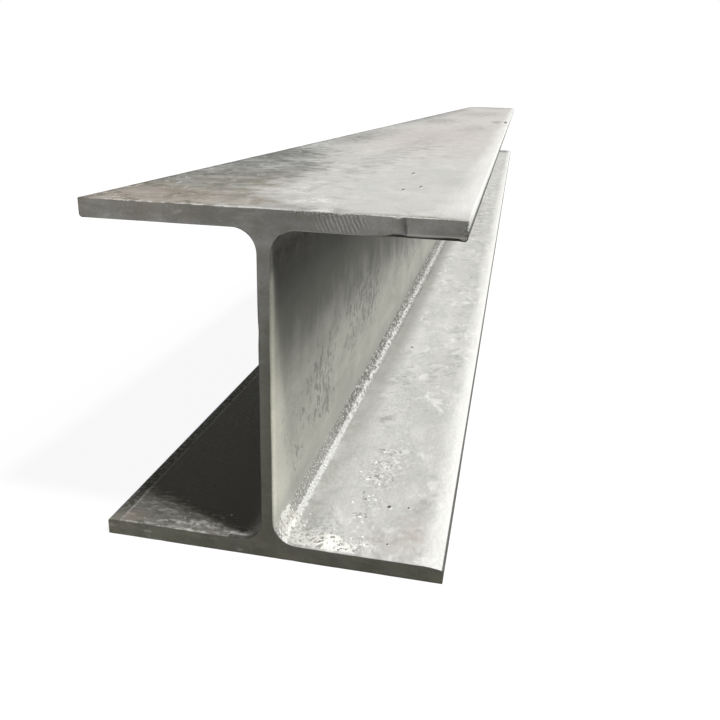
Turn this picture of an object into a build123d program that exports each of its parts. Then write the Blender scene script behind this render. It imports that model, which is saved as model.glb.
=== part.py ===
import os

from build123d import *

# Hot-rolled wide-flange section lying on its lower flange: X across, Y along the length, Z up.
section_height = 250.0
flange_width = 250.0
web_thickness = 9.7
flange_thickness = 13.0
root_radius = 16.0
beam_length = 4000.0

# Flange tips: the inner corners are rolled round, the outer corners are only eased.
inner_toe_radius = 2.5
outer_toe_radius = 1.0

# The lower flange's inner face falls away in a shallow crown before it reaches each tip.
right_crown_width = 16.0
right_crown_drop = 1.6
left_crown_width = 10.5
left_crown_drop = 0.6

# Levels and half widths the outline runs between, measured from the middle of the underside.
half_width = flange_width / 2
half_web = web_thickness / 2
lower_inner_face = flange_thickness
upper_inner_face = section_height - flange_thickness

# A tip's two roundings share the height of its edge, so neither takes more than its part of it.
tip_height = flange_thickness - max(right_crown_drop, left_crown_drop)
inner_rounding = min(inner_toe_radius, 0.6 * tip_height)
outer_rounding = min(outer_toe_radius, 0.3 * tip_height)

with BuildPart() as h_beam:
    with BuildSketch(Plane.XZ) as section:
        with BuildLine():
            # Each crown leaves the flat inner face smoothly and drops to the tip.
            right_crown = TangentArc(
                (half_width - right_crown_width, lower_inner_face),
                (half_width, lower_inner_face - right_crown_drop),
                tangent=(1, 0),
            )
            left_crown = TangentArc(
                (left_crown_width - half_width, lower_inner_face),
                (-half_width, lower_inner_face - left_crown_drop),
                tangent=(-1, 0),
            )
            # Around the underside of the lower flange, from tip to tip.
            Polyline(
                right_crown @ 1,
                (half_width, 0),
                (-half_width, 0),
                left_crown @ 1,
            )
            # Up the web's right side, around the upper flange and down the web's left side.
            Polyline(
                right_crown @ 0,
                (half_web, lower_inner_face),
                (half_web, upper_inner_face),
                (half_width, upper_inner_face),
                (half_width, section_height),
                (-half_width, section_height),
                (-half_width, upper_inner_face),
                (-half_web, upper_inner_face),
                (-half_web, lower_inner_face),
                left_crown @ 0,
            )
        make_face()
        # Root fillets where the web runs into the flanges.
        roots = section.vertices().filter_by_position(Axis.X, -web_thickness, web_thickness)
        fillet(roots, radius=root_radius)
        # Tip corners from the bottom up on either side: outer, inner, inner, outer.
        right_tips = section.vertices().group_by(Axis.X)[-1].sort_by(Axis.Y)
        left_tips = section.vertices().group_by(Axis.X)[0].sort_by(Axis.Y)
        fillet(right_tips[1:3] + left_tips[1:3], radius=inner_rounding)
        fillet(
            section.vertices().group_by(Axis.Y)[0] + section.vertices().group_by(Axis.Y)[-1],
            radius=outer_rounding,
        )
    # The bar is rolled straight and sawn square at its ends.
    extrude(amount=beam_length / 2, both=True)

h_beam.part.label = "h_beam"

os.makedirs("parts", exist_ok=True)
export_step(h_beam.part, "parts/h_beam.step")
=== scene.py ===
"""Steel H-beam as it leaves the mill: rolled skin, sawn ends and the loose scale in its root."""

import math

import bpy
import numpy as np
from bpy.props import FloatProperty, FloatVectorProperty, PointerProperty
from bpy.types import Operator, Panel, PropertyGroup
from mathutils import Matrix, Vector


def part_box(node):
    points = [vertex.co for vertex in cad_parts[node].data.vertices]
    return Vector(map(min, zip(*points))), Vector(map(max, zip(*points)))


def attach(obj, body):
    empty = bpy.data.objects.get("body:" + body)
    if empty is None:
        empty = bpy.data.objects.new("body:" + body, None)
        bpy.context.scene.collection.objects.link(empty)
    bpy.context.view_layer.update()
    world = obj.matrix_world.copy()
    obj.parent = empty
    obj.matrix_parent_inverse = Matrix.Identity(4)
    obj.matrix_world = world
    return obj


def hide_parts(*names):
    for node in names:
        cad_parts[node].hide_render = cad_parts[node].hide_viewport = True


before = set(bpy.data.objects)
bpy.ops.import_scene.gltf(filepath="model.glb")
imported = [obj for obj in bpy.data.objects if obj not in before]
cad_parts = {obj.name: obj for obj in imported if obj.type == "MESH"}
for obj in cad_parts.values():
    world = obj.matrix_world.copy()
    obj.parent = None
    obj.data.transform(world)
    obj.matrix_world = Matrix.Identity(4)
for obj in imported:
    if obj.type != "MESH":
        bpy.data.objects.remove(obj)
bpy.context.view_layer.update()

bl_info = {
    "name": "Steel H-Beam",
    "version": (1, 0, 0),
    "blender": (4, 5, 0),
    "location": "View3D > Sidebar > H-Beam",
    "description": "Skins a packed H-beam as rolled steel and sets it in a plain studio",
    "category": "Add Mesh",
}

LOW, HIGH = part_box("h_beam")
LOW_END = np.array((0.0, LOW[1], LOW[2]))

# Steps along each stretch of the fine section. All are multiples of COARSE, because every
# COARSE-th point is carried on along the beam where the fine rings at its ends stop.
COARSE = 4
CORNER_STEPS = 8
TIP_STEPS = 8
CROWN_STEPS = 16
FLAT_STEPS = 56
JUNCTION_STEPS = 24
ROOT_STEPS = 24
WEB_STEPS = 96
ROUNDING_STEPS = 4

# Shares of the steps and of the way from the root to the right tip: many steps at the saw step.
STEP_CROWD = ((0.0, 0.58, 0.80, 1.0), (0.0, 0.708, 0.737, 1.0))

# Fine rings behind the sawn edge, and the coarse ones between both ends, which crowd at the ends.
FINE_RINGS = (0.0032, 0.0045, 0.0065, 0.009, 0.012, 0.016, 0.021, 0.027, 0.034)
COARSE_RINGS = 130
COARSE_START = 0.04
END_CROWD = 0.8

# A crown this shallow is flat: the upper flange's tips have none.
NO_CROWN = 1e-6
WELD_DIGITS = 8
SKIN, SAWN = 0, 1
DULL_SPECULAR = 0.08
FLAKE_CORNERS = 6
FLOOR_REACH = 30.0
SENSOR_WIDTH = 36.0
SIGHT_REACH = 200.0


def length_setting(name, description, default):
    """A length in metres."""
    return FloatProperty(name=name, description=description, default=default, unit="LENGTH")


def angle_setting(name, description, degrees):
    """An angle, given in degrees."""
    default = math.radians(degrees)
    return FloatProperty(name=name, description=description, default=default, subtype="ANGLE")


def share_setting(name, description, default):
    """A share from 0 to 1."""
    return FloatProperty(name=name, description=description, default=default, subtype="FACTOR")


def number_setting(name, description, default):
    """A number without a unit."""
    return FloatProperty(name=name, description=description, default=default)


def colour_setting(name, description, *default):
    """An opaque colour, given as red, green and blue."""
    default = (*default, 1.0)
    return FloatVectorProperty(
        name=name, description=description, default=default, subtype="COLOR", size=4
    )


class SectionSizes(PropertyGroup):
    """Sizes of the rolled section and of the bar."""

    flange_width: length_setting("Flange width", "Width across the flanges", float(HIGH[0] - LOW[0]))
    height: length_setting("Height", "Height over both flanges", float(HIGH[2] - LOW[2]))
    length: length_setting("Length", "Length between the sawn ends", float(HIGH[1] - LOW[1]))
    web: length_setting("Web", "Thickness of the web", 0.0097)
    flange: length_setting("Flange", "Thickness of each flange", 0.013)
    root_radius: length_setting("Root radius", "Fillet where the web runs into a flange", 0.016)
    inner_toe: length_setting("Inner toe", "Radius of a tip's inner corner", 0.0025)
    outer_toe: length_setting("Outer toe", "Radius of a tip's outer corner", 0.001)
    right_crown_width: length_setting("Right crown width", "Width of the lower right tip's fall", 0.016)
    right_crown_drop: length_setting("Right crown drop", "Drop of the lower right tip", 0.0016)
    left_crown_width: length_setting("Left crown width", "Width of the lower left tip's fall", 0.0105)
    left_crown_drop: length_setting("Left crown drop", "Drop of the lower left tip", 0.0006)


class ReliefSizes(PropertyGroup):
    """Depths of what rolling and sawing leave on the surface."""

    edge: length_setting("Edge", "Rounding of the sawn edges", 0.0005)
    web_edge: length_setting("Web edge", "Rounding of the web's dressed right edge", 0.0014)
    under_edge: length_setting("Under edge", "Rounding under the upper flange's right tip", 0.0021)
    nick: length_setting("Nick", "Depth of the chips in the sawn edges", 0.0011)
    kerf: length_setting("Kerf", "Unevenness of the sawn faces", 0.0002)
    step: length_setting("Step", "Step where two saw passes meet on the upper flange", 0.0009)
    wave: length_setting("Wave", "Depth of the rolled skin's waviness", 0.00012)


class SteelColours(PropertyGroup):
    """Colours and gloss of the rolled skin, the sawn ends and the loose scale."""

    skin: colour_setting("Skin", "Clean mill skin", 0.60, 0.595, 0.57)
    skin_shade: colour_setting("Skin shade", "Darker clouds in the mill skin", 0.50, 0.495, 0.47)
    web: colour_setting("Web", "Mill skin on the web", 0.34, 0.34, 0.30)
    web_shade: colour_setting("Web shade", "Darker clouds on the web", 0.27, 0.268, 0.24)
    # Partly painted light: it also lightens the web beside the near end, where light reaches under the
    # flange.
    rubbed_and_painted_light: colour_setting("Worn", "Rubbed skin on the web beside the near end", 0.62, 0.61, 0.50)
    warm: colour_setting("Warm", "Warm tinge of the top face", 0.565, 0.532, 0.505)
    cool: colour_setting("Cool", "Cooler patches in the mill skin", 0.46, 0.475, 0.455)
    left_near: colour_setting("Left near", "Lower left channel's dirt, near end", 0.22, 0.215, 0.185)
    # Painted shadow: the lower left channel beyond the lit wedge by the near end, darker to stand for its
    # shade.
    left: colour_setting("Left", "Lower left channel's dirt", 0.165, 0.16, 0.135)
    # Partly painted shade beside the root's strip.
    root_shade: colour_setting("Root shade", "Dull skin beside the root's strip", 0.28, 0.28, 0.255)
    # Partly a painted highlight where the right root faces the key light.
    strip: colour_setting("Strip", "Scaly strip along the right root", 0.56, 0.56, 0.54)
    # Also the colour of painted shade: in the end's creases, on the lip and along the end's foot.
    tip: colour_setting("Tip", "Flanges' dark tips and the end's creases", 0.05, 0.048, 0.042)
    tarnish: colour_setting("Tarnish", "Olive blotches on the sawn faces", 0.19, 0.18, 0.14)
    grime: colour_setting("Grime", "Old dirt on the skin", 0.19, 0.18, 0.142)
    # Also used for painted shade over the far root and a painted shadow line beside its strip.
    soot: colour_setting("Soot", "Cold dark smears on the top and the flange", 0.115, 0.118, 0.108)
    rust: colour_setting("Rust", "Light bloom of rust", 0.31, 0.242, 0.19)
    # Also painted highlights: the pale right bands, the seam's edge and lines along the near edge.
    chalk: colour_setting("Chalk", "Dry white bloom", 0.80, 0.795, 0.765)
    pit: colour_setting("Pit", "Pits in the skin", 0.13, 0.12, 0.105)
    # Both sawn colours are darker than the skin partly as painted shade on the end face, the low one more
    # so towards the foot.
    sawn: colour_setting("Sawn", "Sawn face at the upper flange", 0.29, 0.285, 0.27)
    sawn_low_and_shade: colour_setting("Sawn low", "Sawn face at the lower flange", 0.132, 0.13, 0.104)
    scale_light: colour_setting("Scale light", "Palest loose scale", 0.85, 0.84, 0.785)
    scale_dark: colour_setting("Scale dark", "Darkest loose scale", 0.16, 0.155, 0.135)
    skin_metal: share_setting("Skin metal", "How metallic the mill skin is", 0.0)
    sawn_metal: share_setting("Sawn metal", "How metallic the sawn faces are", 0.1)
    smooth_gloss: share_setting("Smooth", "Roughness of the smoothest skin", 0.55)
    rough_gloss: share_setting("Rough", "Roughness of the roughest skin", 0.75)


class StudioSizes(PropertyGroup):
    """Camera, lamps and floor. Lamps turn from the beam's right towards its near end."""

    camera_place: FloatVectorProperty(
        name="Camera place",
        description="Where the camera stands, measured from the middle of the near end's foot",
        default=(0.1466, -0.4186, 0.3191),
        subtype="TRANSLATION",
        unit="LENGTH",
    )
    lens: FloatProperty(
        name="Lens", description="Focal length on a 36 mm sensor", default=36.1, unit="CAMERA"
    )
    shift: number_setting("Shift", "Vertical shift of the frame", -0.0417)
    heading: angle_setting("Heading", "Turn of the camera to the left of the beam's run", 11.37)
    tilt: angle_setting("Tilt", "How far the camera looks down", 18.30)
    roll: angle_setting("Roll", "Turn of the camera about its own axis", 1.61)
    key_heading: angle_setting("Key heading", "Turn of both key lights", 2.0)
    key_spread: angle_setting("Key spread", "Width of each key light as seen from the beam", 22.0)
    low_key_height: angle_setting("Low key height", "Lower key light over the horizon", 27.0)
    low_key_strength: number_setting("Low key strength", "Strength of the lower key light", 1.4)
    high_key_height: angle_setting("High key height", "Upper key light over the horizon", 47.0)
    high_key_strength: number_setting("High key strength", "Strength of the upper key light", 2.1)
    side_heading: angle_setting("Side heading", "Turn of the side light", 20.0)
    side_height: angle_setting("Side height", "Side light over the horizon", 61.0)
    side_spread: angle_setting("Side spread", "Width of the side light as seen from the beam", 5.0)
    side_strength: number_setting("Side strength", "Strength of the side light", 1.3)
    low_height: angle_setting("Low height", "End and fill lights over the horizon", 5.0)
    end_heading: angle_setting("End heading", "Turn of the light on the near end", 90.0)
    end_spread: angle_setting("End spread", "Width of the light on the near end", 30.0)
    end_strength: number_setting("End strength", "Strength of the light on the near end", 1.0)
    fill_heading: angle_setting("Fill heading", "Turn of the fill light", 205.0)
    fill_spread: angle_setting("Fill spread", "Width of the fill light", 8.0)
    fill_strength: number_setting("Fill strength", "Strength of the fill light", 0.6)
    ambient: number_setting("Ambient", "Light from all around", 0.05)
    floor_tone: number_setting("Floor tone", "Grey of the floor", 0.15)
    floor_glow: number_setting("Floor glow", "White added where the floor is looked at", 0.92)


class BeamSettings(PropertyGroup):
    """All settings of the H-beam."""

    section: PointerProperty(type=SectionSizes)
    relief: PointerProperty(type=ReliefSizes)
    colours: PointerProperty(type=SteelColours)
    studio: PointerProperty(type=StudioSizes)


# Curves of the section, as arrays of (x, z).


def arc(centre, radius, start, stop, steps):
    """Centre plus radius times (cos a, sin a), for evenly spaced angles a in degrees."""
    angle = np.radians(np.linspace(start, stop, steps + 1))
    return np.asarray(centre) + radius * np.stack([np.cos(angle), np.sin(angle)], axis=1)


def straight(start, end, shares):
    """Start plus a share of the way to the end, for each share from 0 to 1."""
    shares = np.asarray(shares)[:, None]
    return np.asarray(start) * (1 - shares) + np.asarray(end) * shares


def even(steps):
    """Shares from 0 to 1 in equal steps."""
    return np.linspace(0.0, 1.0, steps + 1)


def crowded(steps):
    """Shares from 0 to 1 that crowd at both ends: half of one minus the cosine of a half turn."""
    return (1 - np.cos(np.pi * even(steps))) / 2


def chained(*curves):
    """Curves joined end to end, each without its first point, where the last one ended."""
    return np.concatenate([curves[0]] + [curve[1:] for curve in curves[1:]])


def flange_tip(section, crown_width, crown_drop):
    """A right-hand tip, with z counted from the flange's outer face: inner face, tip and foot.

    The crown is an arc of radius (width² + drop²) / (2 drop) that leaves the inner face level.
    The inner toe is an arc that touches the crown and the tip, and the outer toe a quarter circle.
    Each toe is shared half and half by the curves it lies between.
    """
    half = section.flange_width / 2
    inner, outer = section.inner_toe, section.outer_toe
    radius = (crown_width**2 + crown_drop**2) / (2 * crown_drop)
    centre = (half - crown_width, section.flange - radius)
    lean = math.asin((crown_width - inner) / (radius - inner))
    toe_level = centre[1] + (radius - inner) * math.cos(lean)
    toe_start = 90 - math.degrees(lean)
    crown = arc(centre, radius, 90, toe_start, CROWN_STEPS)
    toe = arc((half - inner, toe_level), inner, toe_start, 0, 2 * CORNER_STEPS)
    side = straight((half, toe_level), (half, outer), even(TIP_STEPS))
    corner = arc((half - outer, outer), outer, 0, -90, 2 * CORNER_STEPS)
    face = chained(crown, toe[: CORNER_STEPS + 1])
    tip = chained(toe[CORNER_STEPS:], side, corner[: CORNER_STEPS + 1])
    return face, tip, corner[CORNER_STEPS:]


def mirrored(curve):
    """The curve on the other side of the web, run the other way."""
    return (curve * (-1, 1))[::-1]


def flange_edges(section, left_crown, right_crown):
    """A flange's inner face, outer face, left tip and right tip, z counted from its outer face.

    Faces run from left to right and tips from the outer face to the inner one. The outer face has
    as many points as the inner one, and they lie over each other but for the corners.
    """
    right_face, right_tip, right_foot = flange_tip(section, *right_crown)
    left_face, left_tip, left_foot = flange_tip(section, *left_crown)
    root = section.web / 2 + section.root_radius
    level = section.flange
    inner = chained(
        mirrored(left_face),
        straight(left_face[0] * (-1, 1), (-root, level), even(FLAT_STEPS)),
        straight((-root, level), (root, level), crowded(JUNCTION_STEPS)),
        straight((root, level), right_face[0], np.interp(even(FLAT_STEPS), *STEP_CROWD)),
        right_face,
    )
    between = inner[CORNER_STEPS : len(inner) - CORNER_STEPS, 0]
    ends = (-left_foot[-1, 0], right_foot[-1, 0])
    spread = np.interp(between, (between[0], between[-1]), ends)
    flat = np.stack([spread, np.zeros_like(spread)], axis=1)
    outer = chained(left_foot * (-1, 1), flat, right_foot[::-1])
    return inner, outer, mirrored(left_tip), right_tip[::-1]


SIDE_STEPS = CORNER_STEPS + CROWN_STEPS + FLAT_STEPS
FACE_STEPS = 2 * SIDE_STEPS + JUNCTION_STEPS
EDGE_STEPS = 2 * CORNER_STEPS + TIP_STEPS
RISE_STEPS = 2 * ROOT_STEPS + WEB_STEPS

# The section's outline runs counter-clockwise, seen from the near end, in these stretches.
STRETCHES = {
    "underside": FACE_STEPS,
    "lower right tip": EDGE_STEPS,
    "lower right inside": SIDE_STEPS,
    "web right": RISE_STEPS,
    "upper right inside": SIDE_STEPS,
    "upper right tip": EDGE_STEPS,
    "top": FACE_STEPS,
    "upper left tip": EDGE_STEPS,
    "upper left inside": SIDE_STEPS,
    "web left": RISE_STEPS,
    "lower left inside": SIDE_STEPS,
    "lower left tip": EDGE_STEPS,
}


def stretches(ring):
    """A ring's stretches by name, both ends of each included."""
    starts = np.cumsum([0, *STRETCHES.values()])
    return {
        name: np.take(ring, np.arange(start, start + steps + 1), axis=0, mode="wrap")
        for start, (name, steps) in zip(starts, STRETCHES.items())
    }


def section_outline(section):
    """The rolled section's outline as one closed ring of (x, z): its twelve stretches end to end."""
    right_crown = (section.right_crown_width, section.right_crown_drop)
    left_crown = (section.left_crown_width, section.left_crown_drop)
    flat_crown = (section.left_crown_width, NO_CROWN)
    inner, outer, left, right = flange_edges(section, left_crown, right_crown)
    turned = flange_edges(section, flat_crown, flat_crown)
    over_inner, over_outer, over_left, over_right = (
        curve * (1, -1) + (0, section.height) for curve in turned
    )
    radius, wall = section.root_radius, section.web / 2
    low, high = section.flange + radius, section.height - section.flange - radius
    rise = chained(
        arc((wall + radius, low), radius, -90, -180, ROOT_STEPS),
        straight((wall, low), (wall, high), even(WEB_STEPS)),
        arc((wall + radius, high), radius, 180, 90, ROOT_STEPS),
    )
    ring = chained(
        outer,
        right,
        inner[::-1][: SIDE_STEPS + 1],
        rise,
        over_inner[-SIDE_STEPS - 1 :],
        over_right[::-1],
        over_outer[::-1],
        over_left,
        over_inner[: SIDE_STEPS + 1],
        mirrored(rise),
        inner[: SIDE_STEPS + 1][::-1],
        left[::-1],
    )
    return ring[:-1]


def outward(ring):
    """Unit normals of a counter-clockwise ring of (x, z): its tangent turned a quarter clockwise."""
    tangent = np.roll(ring, -1, axis=0) - np.roll(ring, 1, axis=0)
    normal = np.stack([tangent[:, 1], -tangent[:, 0]], axis=1)
    return normal / np.linalg.norm(normal, axis=1, keepdims=True)


def smooth(value, start, stop):
    """A step from 0 to 1 between start and stop: 3 t² - 2 t³."""
    share = np.clip((value - start) / (stop - start), 0.0, 1.0)
    return share * share * (3 - 2 * share)


def window(value, start, rise, fall, stop):
    """1 from rise to fall, 0 before start and after stop: one smooth step times one less another."""
    return smooth(value, start, rise) * (1 - smooth(value, fall, stop))


def bump(value, middle, reach):
    """A bell: e to the minus square of the distance from the middle over the reach."""
    return np.exp(-(((value - middle) / reach) ** 2))


def waves(points, longest, octaves, seed):
    """Uneven ground between about -1 and 1: sums of sines along random directions.

    Each octave has half the last one's wavelength and half its height.
    """
    draw = np.random.default_rng(seed)
    total = np.zeros(points.shape[:-1])
    for octave in range(octaves):
        direction = draw.normal(size=(points.shape[-1], 7))
        direction /= np.linalg.norm(direction, axis=0)
        phase = draw.uniform(0, 2 * np.pi, 7)
        turns = 2 * np.pi * 2**octave / longest
        total += np.sin(points @ direction * turns + phase).sum(axis=-1) / 2**octave
    return total / 6


def edge_rounding(ring, section, relief, dressed, seed):
    """Radius of the sawn edge at each point of the outline.

    A plain radius with small nicks, and on the dressed end a larger one along the web's right
    face and under the upper flange's right tip, a chip in the web and two in the upper edge.
    """
    x, z = ring.T
    nicks = smooth(waves(ring, 0.03, 4, seed), 0.5, 1.1)
    radius = relief.edge * (1 + 0.35 * waves(ring, 0.05, 3, seed + 1)) + 0.4 * relief.nick * nicks
    if dressed:
        half, root = section.flange_width / 2, section.web / 2 + section.root_radius
        rise = window(z, section.flange + 0.002, section.flange + 0.02, 0.2, 0.226)
        lip = window(x, 0.074, 0.082, half - 0.006, half - 0.002)
        chips = bump(x, 0.083, 0.0022) + 0.8 * bump(x, 0.049, 0.0026)
        for place_there, deeper in (
            ((x > 0) & (x < root), (relief.web_edge - relief.edge) * rise),
            (np.abs(z - section.height + section.flange) < 0.001, (relief.under_edge - relief.edge) * lip),
            ((x < 0) & (x > -root), 1.2 * relief.nick * bump(z, 0.17, 0.007)),
            (z > section.height - 0.0001, relief.nick * chips),
        ):
            radius += np.where(place_there, deeper, 0.0)
    return np.clip(radius, 0.4 * relief.edge, None)


def saw_seam(x, z):
    """How far to the right of the line where two saw passes meet a point of the upper flange lies."""
    return x - 0.0885 + 0.06 * (z - 0.2435)


def saw_cut(points, relief, dressed, seed):
    """How far the saw left the end short of square: shallow waves, and a step on the dressed end."""
    x, z = points[..., 0], points[..., 2]
    depth = relief.kerf * (1 + waves(points[..., (0, 2)], 0.16, 4, seed))
    if dressed:
        hollow = window(saw_seam(x, z), -0.034, -0.002, -0.0005, 0.0)
        depth = depth + relief.step * hollow * smooth(z, 0.21, 0.23)
    return np.clip(depth, 0.0, None)


def rounded_end(ring, section, relief, dressed, seed):
    """Rings that roll from the sawn face over its edge.

    With angle a from 0 to 90 degrees, a ring lies r (1 - sin a) inside the outline and
    r (1 - cos a) behind the cut.
    """
    radius = edge_rounding(ring, section, relief, dressed, seed)[:, None]
    normal = outward(ring)
    rings = []
    for angle in np.radians(np.linspace(0, 90, ROUNDING_STEPS + 1)):
        inside = ring - normal * radius * (1 - np.sin(angle))
        behind = (radius * (1 - np.cos(angle)))[:, 0]
        points = np.stack([inside[:, 0], behind, inside[:, 1]], axis=1)
        points[:, 1] += saw_cut(points, relief, dressed, seed + 5)
        rings.append(points)
    return rings


def shares(values):
    """Values as shares of the way from the first to the last."""
    return (values - values[0]) / (values[-1] - values[0])


def coons(bottom, top, left, right):
    """A patch between four curves: both rulings added, less the one through the corners.

    A point's shares of the way across and up are those of its column along the lower curve and of
    its row along the two sides.
    """
    across = shares(bottom[:, 0])[:, None, None]
    up = (shares(left[:, 2]) + shares(right[:, 2]))[None, :, None] / 2
    ruled = (1 - up) * bottom[:, None] + up * top[:, None]
    ruled = ruled + (1 - across) * left[None] + across * right[None]
    low = (1 - across) * bottom[0] + across * bottom[-1]
    high = (1 - across) * top[0] + across * top[-1]
    return ruled - (1 - up) * low - up * high


def end_patches(ring):
    """The sawn face inside a ring, as three patches: lower flange, web and upper flange."""
    side = stretches(ring)
    lower_left, lower_right = side["lower left inside"][::-1], side["lower right inside"][::-1]
    upper_left, upper_right = side["upper left inside"], side["upper right inside"]
    lower_joint = straight(lower_left[-1], lower_right[0], crowded(JUNCTION_STEPS))
    upper_joint = straight(upper_left[-1], upper_right[0], crowded(JUNCTION_STEPS))
    over = chained(lower_left, lower_joint, lower_right)
    under = chained(upper_left, upper_joint, upper_right)
    return (
        coons(side["underside"], over, side["lower left tip"][::-1], side["lower right tip"]),
        coons(lower_joint, upper_joint, side["web left"][::-1], side["web right"]),
        coons(under, side["top"][::-1], side["upper left tip"][::-1], side["upper right tip"]),
    )


def grid_faces(columns, rows, closed=False):
    """Corner numbers of the quads of a grid of points, column by column."""
    number = np.arange(columns * rows).reshape(columns, rows)
    if closed:
        number = np.concatenate([number, number[:, :1]], axis=1)
    start, ahead = number[:-1], number[1:]
    quads = np.stack([start[:, :-1], ahead[:, :-1], ahead[:, 1:], start[:, 1:]], axis=-1)
    return quads.reshape(-1, 4)


def thinning_faces(fine, coarse):
    """Triangles from a ring with COARSE times as many points to a coarser one behind it."""
    count = len(coarse)
    f = fine[(np.arange(count)[:, None] * COARSE + np.arange(COARSE + 1)) % len(fine)]
    here, there = coarse, np.roll(coarse, -1)
    triangles = [
        (f[:, 0], here, f[:, 1]),
        (f[:, 1], here, f[:, 2]),
        (f[:, 2], here, there),
        (f[:, 2], there, f[:, 3]),
        (f[:, 3], there, f[:, 4]),
    ]
    return np.concatenate([np.stack(corners, axis=1) for corners in triangles])


class Shell:
    """Patches of points and faces gathered into one closed mesh."""

    def __init__(self):
        self.points, self.faces, self.count = [], [], 0

    def add(self, points):
        """Adds a grid of points and returns the grid of their numbers."""
        numbers = self.count + np.arange(points[..., 0].size).reshape(points.shape[:-1])
        self.points.append(points.reshape(-1, 3))
        self.count += numbers.size
        return numbers

    def face(self, corners, material):
        """Adds faces, all with as many corners, in one material."""
        self.faces.append((corners, material))

    def mesh(self, name):
        """Welds points that lie in one place and fills a mesh with them."""
        points = np.concatenate(self.points)
        keys = np.round(points, WELD_DIGITS)
        _, first, place = np.unique(keys, axis=0, return_index=True, return_inverse=True)
        faces = [(place.ravel()[corners], material) for corners, material in self.faces]
        return filled_mesh(name, points[first], faces)


def filled_mesh(name, points, faces, rounded=True):
    """A mesh from points and from groups of faces, each with its material number."""
    corners = np.concatenate([group.ravel() for group, _ in faces])
    sizes = np.concatenate([np.full(len(group), group.shape[1]) for group, _ in faces])
    materials = np.concatenate([np.full(len(group), number) for group, number in faces])
    mesh = bpy.data.meshes.new(name)
    mesh.vertices.add(len(points))
    mesh.vertices.foreach_set("co", points.astype(np.float32).ravel())
    mesh.loops.add(len(corners))
    mesh.loops.foreach_set("vertex_index", corners.astype(np.int32))
    mesh.polygons.add(len(sizes))
    starts = np.concatenate([[0], np.cumsum(sizes)[:-1]])
    mesh.polygons.foreach_set("loop_start", starts.astype(np.int32))
    mesh.polygons.foreach_set("material_index", materials.astype(np.int32))
    mesh.update(calc_edges=True)
    mesh.polygons.foreach_set("use_smooth", np.full(len(sizes), rounded))
    return mesh


def store(mesh, name, values):
    """Keeps one number for each of a mesh's points."""
    layer = mesh.attributes.new(name, "FLOAT", "POINT")
    layer.data.foreach_set("value", values.astype(np.float32).ravel())


def rolled_beam_mesh(section, relief):
    """The outline carried along the beam, fine at both ends and coarse between, and both sawn faces.

    The skin is pushed in by shallow waves, so nothing stands out of the section.
    """
    ring = section_outline(section)
    normal = outward(ring)
    length = section.length
    level = np.stack([ring[:, 0], np.zeros(len(ring)), ring[:, 1]], axis=1)
    near = rounded_end(ring, section, relief, True, 11)
    near += [level + (0, y, 0) for y in FINE_RINGS]
    far = rounded_end(ring, section, relief, False, 41)
    far += [level + (0, y, 0) for y in FINE_RINGS[::2]]
    far = [points * (1, -1, 1) + (0, length, 0) for points in far[::-1]]
    share = even(COARSE_RINGS)
    graded = share - END_CROWD * np.sin(2 * np.pi * share) / (2 * np.pi)
    stations = COARSE_START + (length - 2 * COARSE_START) * graded
    middle = level[::COARSE][None] + np.stack([0 * stations, stations, 0 * stations], axis=1)[:, None]

    def dented(points, facing):
        """Points moved in along the section's normal, by none to twice the wave."""
        depth = relief.wave * np.clip(1 + waves(points, 0.21, 4, 7), 0, 2)[..., None]
        inward = np.stack([facing[:, 0], 0 * facing[:, 0], facing[:, 1]], axis=1)
        moved = points - inward * depth
        return moved + (LOW[0] + section.flange_width / 2, LOW[1], LOW[2])

    near = dented(np.array(near), normal)
    middle = dented(middle, normal[::COARSE])
    far = dented(np.array(far), normal)
    shell = Shell()
    first, between, last = (shell.add(points) for points in (near, middle, far))
    for numbers in (first, between, last):
        shell.face(numbers.ravel()[grid_faces(*numbers.shape, closed=True)], SKIN)
    shell.face(thinning_faces(first[-1], between[0]), SKIN)
    shell.face(thinning_faces(last[0], between[-1])[:, ::-1], SKIN)
    for end, turned in ((near[0], False), (far[-1], True)):
        for patch in end_patches(end):
            quads = shell.add(patch).ravel()[grid_faces(*patch.shape[:2])]
            shell.face(quads[:, ::-1] if turned else quads, SAWN)
    return shell.mesh("rolled_beam")


# Faces that stains lie on: the axis square to the face, where it crosses that axis, its reach there.
FACES = {
    "top": (2, 0.25, 0.006),
    "flange": (2, 0.013, 0.006),
    "right edge": (2, 0.0125, 0.006),
    "under the top": (2, 0.237, 0.005),
    "underside": (2, 0.0, 0.004),
    "web right": (0, 0.005, 0.006),
    "web left": (0, -0.005, 0.006),
}
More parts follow.
